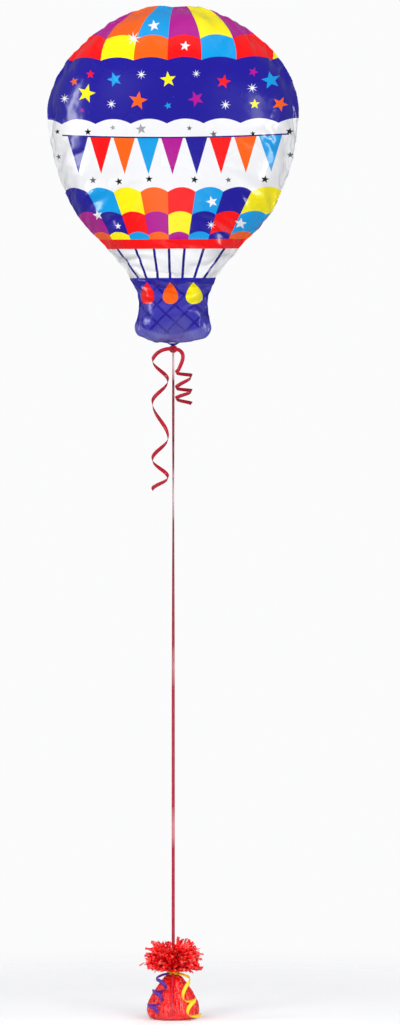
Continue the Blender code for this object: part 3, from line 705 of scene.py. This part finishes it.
# Two films, back to back on one seam. The seam is drawn in to its filled outline while the gas swells them.
def inflate(flat, faces, onRim):
    total = len(flat)
    backOf = np.where(onRim, np.arange(total), 0)
    backOf[~onRim] = total + np.arange((~onRim).sum())
    spots = np.zeros((total + (~onRim).sum(), 3))
    spots[:total, 0], spots[:total, 2] = flat[:, 0], flat[:, 1]
    spots[:total, 1] = np.where(onRim, 0, -0.0008)
    spots[total:] = np.stack([flat[~onRim, 0], np.full((~onRim).sum(), 0.0008), flat[~onRim, 1]], 1)
    shown = spots.copy()
    shown[:, 2] /= foil["heightCut"]
    shown[:, 0] /= widthCut(shown[:, 2])
    allFaces = np.concatenate([faces, backOf[faces][:, ::-1]])
    mesh = bpy.data.meshes.new("filling")
    mesh.from_pydata(spots.tolist(), [], allFaces.tolist())
    film = bpy.data.objects.new("filling", mesh)
    scene = bpy.context.scene
    scene.collection.objects.link(film)
    film.shape_key_add(name="flat")
    drawn = film.shape_key_add(name="drawn")
    drawn.data.foreach_set("co", shown.ravel())
    drawn.value = 0.0
    drawn.keyframe_insert("value", frame=1)
    drawn.value = 1.0
    drawn.keyframe_insert("value", frame=foil["drawnBy"])
    film.vertex_groups.new(name="rim").add(np.flatnonzero(onRim).tolist(), 1.0, "REPLACE")
    cloth = film.modifiers.new("gas", "CLOTH")
    settings = cloth.settings
    settings.vertex_group_mass = "rim"
    settings.quality, settings.mass, settings.air_damping = 6, 0.3, 6.0
    settings.tension_stiffness, settings.compression_stiffness = foil["tension"], foil["compression"]
    settings.shear_stiffness, settings.bending_stiffness = foil["shear"], foil["bending"]
    settings.tension_damping = settings.compression_damping = settings.shear_damping = 10.0
    settings.bending_damping = 0.5
    settings.use_pressure, settings.uniform_pressure_force = True, foil["pressure"]
    settings.effector_weights.gravity = 0.0
    cloth.collision_settings.use_collision = cloth.collision_settings.use_self_collision = False
    cloth.point_cache.frame_start, cloth.point_cache.frame_end = 1, foil["frames"] + 1
    scene.frame_start, scene.frame_end = 1, foil["frames"] + 1
    for step in range(1, foil["frames"] + 1):
        scene.frame_set(step)
    done = film.evaluated_get(bpy.context.evaluated_depsgraph_get()).data
    filled = np.zeros(len(spots) * 3)
    done.vertices.foreach_get("co", filled)
    bpy.data.objects.remove(film)
    bpy.data.meshes.remove(mesh)
    scene.frame_set(1)
    return filled.reshape(-1, 3), backOf


# Which points are neighbours, both ways round.
def neighbours(faces):
    pairs = np.concatenate([faces[:, [0, 1]], faces[:, [1, 2]], faces[:, [2, 0]]])
    pairs = np.unique(np.sort(pairs, axis=1), axis=0)
    return np.concatenate([pairs, pairs[:, ::-1]])


# Each point goes to the middle of its neighbours, again and again. The rim stays.
def relaxed(values, both, onRim, rounds):
    values = values.copy()
    degree = np.bincount(both[:, 0], minlength=len(values))[:, None]
    for _ in range(rounds):
        total = np.zeros_like(values)
        np.add.at(total, both[:, 0], values[both[:, 1]])
        values[~onRim] = (total / degree)[~onRim]
    return values


# The filled form without its creases is brought to the balloon's own, and the creases are laid back on it.
def fitForm(spots, both, onRim):
    broad = relaxed(spots, both, onRim, foil["formRelax"])
    broad += relaxed(spots - broad, both, onRim, foil["formRelax"])
    creases = spots - broad
    middle = np.zeros_like(broad)
    middle[:, 2] = np.clip(broad[:, 2], -0.395, 0.100)
    low, high = np.full(len(broad), 0.2), np.full(len(broad), 2.5)
    poles = np.array([foil["depth"][0][0][1], foil["depth"][-1][0][1]]) / 1000
    for _ in range(30):
        scale = (low + high) / 2
        spot = middle + (broad - middle) * scale[:, None]
        half, depth = filledSize(spot[:, 2])
        outside = (abs(spot[:, 0]) / half) ** foil["fullness"] + (spot[:, 1] / depth) ** 2 > 1
        outside |= abs(spot[:, 2] - poles.mean()) > np.ptp(poles) / 2
        low, high = np.where(outside, low, scale), np.where(outside, scale, high)
    scale[onRim] = 1
    print("the form is scaled by", scale.min().round(2), "to", scale.max().round(2),
          "and creases are up to", (1000 * abs(creases[:, 1]).max()).round(1), "mm")
    form = middle + (broad - middle) * scale[:, None]
    return form + creases * foil["creases"], form


# The seam puckers: short waves along it that die out in the film beside it.
def puckerSeam(spots, flatAll, ringOrder):
    rng = np.random.default_rng(11)
    seam = spots[ringOrder]
    turn = 2 * math.pi * np.arange(len(ringOrder)) / len(ringOrder)
    tangent = np.roll(seam, -1, 0) - np.roll(seam, 1, 0)
    out = np.stack([-tangent[:, 2], tangent[:, 2] * 0, tangent[:, 0]], 1)
    out /= np.linalg.norm(out, axis=1)[:, None]
    outWave, sideWave = (sum(
        rng.uniform(0.4, 1.0) * np.sin(waves * turn + rng.uniform(0, 6.28)) for waves in (23, 37, 52, 71, 94)
    ) / 1.8 for _ in range(2))
    shift = out * (outWave * foil["puckerOut"])[:, None]
    shift[:, 1] = sideWave * foil["puckerAside"]
    gap = np.linalg.norm(flatAll[:, None, :] - flatAll[ringOrder][None], axis=2)
    nearest = gap.argmin(axis=1)
    spots += shift[nearest] * np.exp(-gap.min(axis=1) / 0.014)[:, None]
    return out


def makeFilm(name, side, spots, faces, printed, outwards, node):
    shape = bmesh.new()
    outLayer = shape.verts.layers.float_vector.new("out")
    printLayer = shape.verts.layers.float_vector.new("printed")
    used = np.unique(faces)
    verts = {}
    for index in used:
        vert = verts[index] = shape.verts.new(Vector(spots[index]))
        vert[outLayer] = Vector(outwards.get(index, (0, 0, 0)))
        vert[printLayer] = Vector((printed[index][0], printed[index][1], 0))
    for face in faces:
        shape.faces.new([verts[index] for index in face])
    shape.normal_update()
    if sum(face.normal.y for face in shape.faces) * side < 0:
        bmesh.ops.reverse_faces(shape, faces=shape.faces)
    # The welded rim outside the seam, in two steps so that it can crinkle.
    edges = [edge for edge in shape.edges if edge.is_boundary]
    for step in range(2):
        grown = bmesh.ops.extrude_edge_only(shape, edges=edges)["geom"]
        edges = [item for item in grown if isinstance(item, bmesh.types.BMEdge)]
        for vert in (item for item in grown if isinstance(item, bmesh.types.BMVert)):
            reach = vert[outLayer] * foil["rimWidth"] / 2
            crinkle = 0.0005 * (step + 1) * math.sin(vert.co.x * 900 + vert.co.z * 700)
            vert.co += reach + Vector((0, crinkle, 0))
            vert[printLayer] += Vector((reach.x, reach.z, 0))
    uv = shape.loops.layers.uv.new("print")
    for corner in (loop for face in shape.faces for loop in face.loops):
        place = corner.vert[printLayer]
        corner[uv].uv = (0.5 - place.x * side, 0.5 + place.y)
    piece = addPiece(name, meshFrom(shape, name), materials["foil"], "balloon", [node])
    smooth = piece.modifiers.new("smooth", "SUBSURF")
    smooth.levels = smooth.render_levels = 1
    wall = piece.modifiers.new("wall", "SOLIDIFY")
    wall.thickness, wall.offset = foil["film"], 1.0


def makeFoil():
    flat, faces, rimPlace, count = cutFilm()
    onRimFlat = rimPlace >= 0
    spots, backOf = inflate(flat, faces, onRimFlat)
    print("foil filled,", len(spots), "points")
    total = len(flat)
    onRim = np.zeros(len(spots), bool)
    onRim[:total] = onRimFlat
    flatAll = np.concatenate([flat, flat[~onRimFlat]])
    ringOrder = np.array([int(np.flatnonzero(rimPlace == k)[0]) for k in range(count)])
    both = neighbours(np.concatenate([faces, backOf[faces]]))
    form = spots
    spots, form = fitForm(spots, both, onRim)
    # The print lies where the front view has it, most of each crease left out. The bulb's front is nearer and
    # looks higher.
    laid = form + foil["printFlat"] * (spots - form)
    printed = laid[:, [0, 2]]
    printed[:, 1] += (printed[:, 1] - lookout["middleZ"]) * abs(laid[:, 1]) / lookout["distance"]
    out = puckerSeam(spots, flatAll, ringOrder)
    outwards = dict(zip(ringOrder.tolist(), out.tolist()))
    makeFilm("frontFilm", -1, spots, faces, printed, outwards, "foil_front")
    makeFilm("backFilm", 1, spots, backOf[faces], printed, outwards, "foil_back")


makeFoil()
print("foil made")

tinsel = {
    "seed": 5, "spray": 580, "width": (0.0036, 0.0072), "steps": 8, "half": 0.0640, "height": 0.0685, "lean": 0.40, "ribbonHalf": 0.0042,
    "innerAngle": 25, "outerAngle": 92, "root": 0.0078, "foot": 0.0008,
    "skirt": 320, "skirtWidth": (0.0018, 0.0038),
    "profile": [(0.0098, -1.6753), (0.0165, -1.6800), (0.0260, -1.6950), (0.0370, -1.7110), (0.0475, -1.7305),
                (0.0510, -1.7450), (0.0500, -1.7530), (0.0469, -1.7590), (0.0439, -1.7610)],
}


# One strip of shredded foil along a short path, added to the shape that holds them all.
def addStrip(shape, path, facing, width, shade):
    layer = shape.verts.layers.float["shade"]
    path = np.array(path)
    across = np.cross(np.gradient(path, axis=0), facing)
    across /= np.linalg.norm(across, axis=1)[:, None]
    edge = None
    for index, (point, side) in enumerate(zip(path, across)):
        if edge is None:
            pair = [shape.verts.new(Vector(point)), shape.verts.new(Vector(point))]
            edge = shape.edges.new(pair)
        else:
            grown = bmesh.ops.extrude_edge_only(shape, edges=[edge])["geom"]
            edge = next(item for item in grown if isinstance(item, bmesh.types.BMEdge))
            pair = edge.verts
        for vert, sign in zip(pair, (-1, 1)):
            vert.co = Vector(point + side * sign * width / 2)
            vert[layer] = shade
    return edge


# The spray's reach towards one direction: a broad dome with lumps on it.
def sprayReach(angle, azimuth):
    settings = tinsel
    across, up = abs(math.sin(angle)) / settings["half"], abs(math.cos(angle)) / settings["height"]
    lumps = math.sin(5 * azimuth + 3.1 * angle) + 0.8 * math.sin(8 * azimuth - 5.0 * angle + 1.7)
    return (across ** 2.6 + up ** 2.6) ** (-1 / 2.6) * (0.94 + 0.045 * lumps)


def makeSpray():
    settings, rng = tinsel, np.random.default_rng(tinsel["seed"])
    shape = bmesh.new()
    shape.verts.layers.float.new("shade")
    inner, outer = (math.cos(math.radians(settings[key])) for key in ("innerAngle", "outerAngle"))
    for _ in range(settings["spray"]):
        azimuth, angle = rng.uniform(0, 2 * math.pi), math.acos(outer + (inner - outer) * rng.uniform(0, 1) ** 0.6)
        length = sprayReach(angle, azimuth) * rng.uniform(0.66 + 0.24 * math.cos(angle) ** 2, 1.0)
        out = np.array([math.cos(azimuth), math.sin(azimuth), 0.0])
        side = np.array([-out[1], out[0], 0.0])
        bow, sway = rng.uniform(-0.14, 0.04), rng.uniform(-0.16, 0.16)
        kink, width = rng.uniform(0.0008, 0.0026), rng.uniform(*settings["width"])
        path, facings, turn = [], [], rng.uniform(-0.9, 0.9)
        for step in range(settings["steps"] + 1):
            t = step / settings["steps"]
            here = angle + bow * math.sin(math.pi * t) * 1.6
            away = out * math.sin(here) + np.array([0, 0, math.cos(here)])
            level = out * math.cos(here) - np.array([0, 0, math.sin(here)])
            spot = away * (settings["root"] + (length - settings["root"]) * t) + side * sway * t * t * length
            spot += (level * rng.uniform(0.5, 1) + side * rng.uniform(-0.5, 0.5)) * kink * (-1) ** step * min(1.0, t * 3)
            # Room is left for the taut ribbon, which leans to both sides and to the front and the back.
            room = settings["lean"] * max(spot[2], 0) + settings["ribbonHalf"] + width / 2
            spot[:2] *= max(1.0, room / np.linalg.norm(spot[:2], 8))
            path.append(spot + np.array([0, 0, waistZ + settings["foot"]]))
            turn += rng.uniform(-0.5, 0.5)
            facings.append(level * math.cos(turn) + side * math.sin(turn))
        addStrip(shape, path, np.array(facings), width, rng.uniform(0, 1))
    bmesh.ops.solidify(shape, geom=shape.faces[:], thickness=0.00012)
    addPiece("tinselSpray", meshFrom(shape, "tinselSpray"), materials["tinsel"], "weight",
             ["wrapper_burst"])


def makeSkirt():
    settings, rng = tinsel, np.random.default_rng(tinsel["seed"] + 1)
    profile = np.array(settings["profile"])
    along = np.r_[0, np.cumsum(np.linalg.norm(np.diff(profile, axis=0), axis=1))]
    # The gathered wrapper under the shreds: a ring at the waist drawn down and out over the block.
    shape = bmesh.new()
    shade = shape.verts.layers.float.new("shade")
    ring = bmesh.ops.create_circle(shape, segments=144, radius=profile[0][0] - 0.0008)["verts"]
    bmesh.ops.translate(shape, vec=(0, 0, profile[0][1]), verts=ring)
    edges = list({edge for vert in ring for edge in vert.link_edges})
    for step, (radius, height) in enumerate(zip(*(np.interp(np.linspace(0, along[-1], 13)[1:], along, column)
                                                 for column in profile.T))):
        grown = bmesh.ops.extrude_edge_only(shape, edges=edges)["geom"]
        edges = [item for item in grown if isinstance(item, bmesh.types.BMEdge)]
        for vert in (item for item in grown if isinstance(item, bmesh.types.BMVert)):
            azimuth = math.atan2(vert.co.y, vert.co.x)
            fold = 0.0011 * math.sin(24 * azimuth + 0.25 * step) + 0.0005 * math.sin(41 * azimuth - 0.4 * step)
            out = radius - 0.0022 + fold * min(1.0, radius / 0.03)
            vert.co = Vector((math.cos(azimuth) * out, math.sin(azimuth) * out, max(height, floorZ + 0.0002)))
            # Painted shade: the wrapper is kept dark so the gaps between the shreds read as shade, darker in its
            # folds' hollows and lighter on their crests.
            vert[shade] = 0.12 + 0.1 * math.sin(24 * azimuth)
    bmesh.ops.recalc_face_normals(shape, faces=shape.faces)
    bmesh.ops.solidify(shape, geom=shape.faces[:], thickness=0.0003)
    addPiece("wrapperSkirt", meshFrom(shape, "wrapperSkirt"), materials["tinsel"], "weight",
             ["wrapper_skirt"])

    shape = bmesh.new()
    shape.verts.layers.float.new("shade")
    for _ in range(settings["skirt"]):
        azimuth, drift = rng.uniform(0, 2 * math.pi), rng.uniform(-0.25, 0.25)
        start, end = rng.uniform(0, 0.25), rng.uniform(0.72, 1.0)
        lift, ripple, phase = rng.uniform(0.0002, 0.0028), rng.uniform(0.02, 0.09), rng.uniform(0, 6.28)
        path, facing = [], []
        for t in np.linspace(start, end, 10):
            radius, height = (np.interp(t * along[-1], along, column) for column in profile.T)
            turn = azimuth + drift * t + ripple * math.sin(9 * t + phase)
            radius += lift * math.sin(math.pi * min(1, t * 1.1)) - 0.0008
            out = np.array([math.cos(turn), math.sin(turn), 0.0])
            path.append(out * radius + np.array([0, 0, max(height + 0.0004, floorZ + 0.0006)]))
            lean = rng.uniform(-0.7, 0.7)
            facing.append(out + np.array([-out[1] * lean, out[0] * lean, rng.uniform(0.1, 0.9)]))
        addStrip(shape, path, np.array(facing), rng.uniform(*settings["skirtWidth"]), rng.uniform(0.1, 1))
    bmesh.ops.solidify(shape, geom=shape.faces[:], thickness=0.00012)
    addPiece("tinselSkirt", meshFrom(shape, "tinselSkirt"), materials["tinsel"], "weight",
             ["wrapper_skirt"])


makeSpray()
makeSkirt()
print("tinsel made")

# What is shown as it was built gets its finish here.
for node, finish in {
    "filling_neck": "tail", "neck_wrap": "crimson", "tie_knot": "crimson", "weight_knot": "crimson",
    "waist_tie": "yellow", "weight_block": "block",
}.items():
    built = frame["nodes"][node]
    built.data.materials.clear()
    built.data.materials.append(materials[finish])

stage = {"floorRadius": 1.6, "solidTo": 0.15, "skyRadius": 70.0, "pale": ink(251, 251, 252)}


def makeStage():
    settings = stage
    paint = Paint("paleFloor", Roughness=0.9)
    x, y, _ = paint.axes(paint.node("TexCoord", {}, {}, 3))
    away = paint.maths("SQRT", x * x + y * y)
    fade = paint.node("MapRange", {"interpolation_type": "SMOOTHSTEP"}, {
        0: away, 1: settings["solidTo"], 2: settings["floorRadius"] * 0.97, 3: 1.0, 4: 0.0,
    })
    shape = bmesh.new()
    bmesh.ops.create_circle(shape, cap_ends=True, segments=96, radius=settings["floorRadius"])
    bmesh.ops.translate(shape, vec=(0, 0, floorZ - 0.0005), verts=shape.verts)
    floor = bpy.data.objects.new("floor", meshFrom(shape, "floor", smooth=False))
    floor.data.materials.append(paint.surface(Base_Color=settings["pale"], Alpha=fade))

    paint = Paint("paleBackdrop", Roughness=1.0, Base_Color=(0, 0, 0, 1), Emission_Color=settings["pale"],
                  Emission_Strength=1.0)
    shape = bmesh.new()
    bmesh.ops.create_uvsphere(shape, u_segments=48, v_segments=24, radius=settings["skyRadius"])
    bmesh.ops.reverse_faces(shape, faces=shape.faces)
    sky = bpy.data.objects.new("backdrop", meshFrom(shape, "backdrop"))
    sky.data.materials.append(paint.material)
    # Only the camera sees the backdrop, so it doesn't light the balloon.
    sky.visible_diffuse = sky.visible_glossy = sky.visible_transmission = sky.visible_shadow = False
    for part in (floor, sky):
        bpy.context.scene.collection.objects.link(part)


# Soft boxes: place, aim, width, height, power in watts, whether the film mirrors it, and its spread in degrees.
lights = {
    "front left": ((-2.4, -4.4, 1.4), (0, 0, -0.5), 2.4, 2.4, 102, False, 180),
    "front right": ((2.4, -4.4, 0.6), (0, 0, -0.6), 2.4, 2.4, 74, False, 180),
    "left box": ((-3.3, -0.7, 0.1), (0, 0, -0.1), 0.55, 2.4, 40, True, 180),
    "right box": ((2.7, -1.8, 0.2), (0, 0, -0.1), 0.9, 0.9, 8, True, 180),
    "right side": ((3.3, -0.4, -0.6), (0, 0, -0.4), 0.5, 1.6, 26, True, 180),
    "top": ((0.2, -0.6, 3.0), (0, 0, 0), 2.4, 2.0, 44, False, 180),
    "back": ((0.6, 3.6, 1.2), (0, 0, -0.2), 2.4, 2.4, 56, False, 180),
    "low": ((0.0, -3.0, -1.3), (0, 0, -1.2), 2.0, 0.8, 24, False, 180),
    "weight left": ((-0.8, -1.4, -1.2), (0, 0, -1.66), 0.7, 0.5, 0.8, True, 60),
    "weight right": ((0.9, -1.2, -1.1), (0, 0, -1.66), 0.6, 0.6, 0.8, True, 60),
}


def makeLights():
    for name, (place, aim, width, height, power, mirrored, spread) in lights.items():
        lamp = bpy.data.lights.new(name, "AREA")
        lamp.shape, lamp.size, lamp.size_y, lamp.energy = "RECTANGLE", width, height, power
        lamp.spread = math.radians(spread)
        lit = bpy.data.objects.new(name, lamp)
        lit.location, lit.visible_glossy = place, mirrored
        lit.rotation_mode = "QUATERNION"
        lit.rotation_quaternion = (Vector(aim) - Vector(place)).to_track_quat("-Z", "Y")
        bpy.context.scene.collection.objects.link(lit)
    world = bpy.data.worlds.new("room")
    world.use_nodes = True
    background = world.node_tree.nodes["Background"]
    background.inputs["Color"].default_value = (0.92, 0.94, 1.0, 1.0)
    background.inputs["Strength"].default_value = 0.2
    bpy.context.scene.world = world
    bpy.context.scene.view_settings.view_transform = "Standard"


makeStage()
makeLights()
print("stage made")
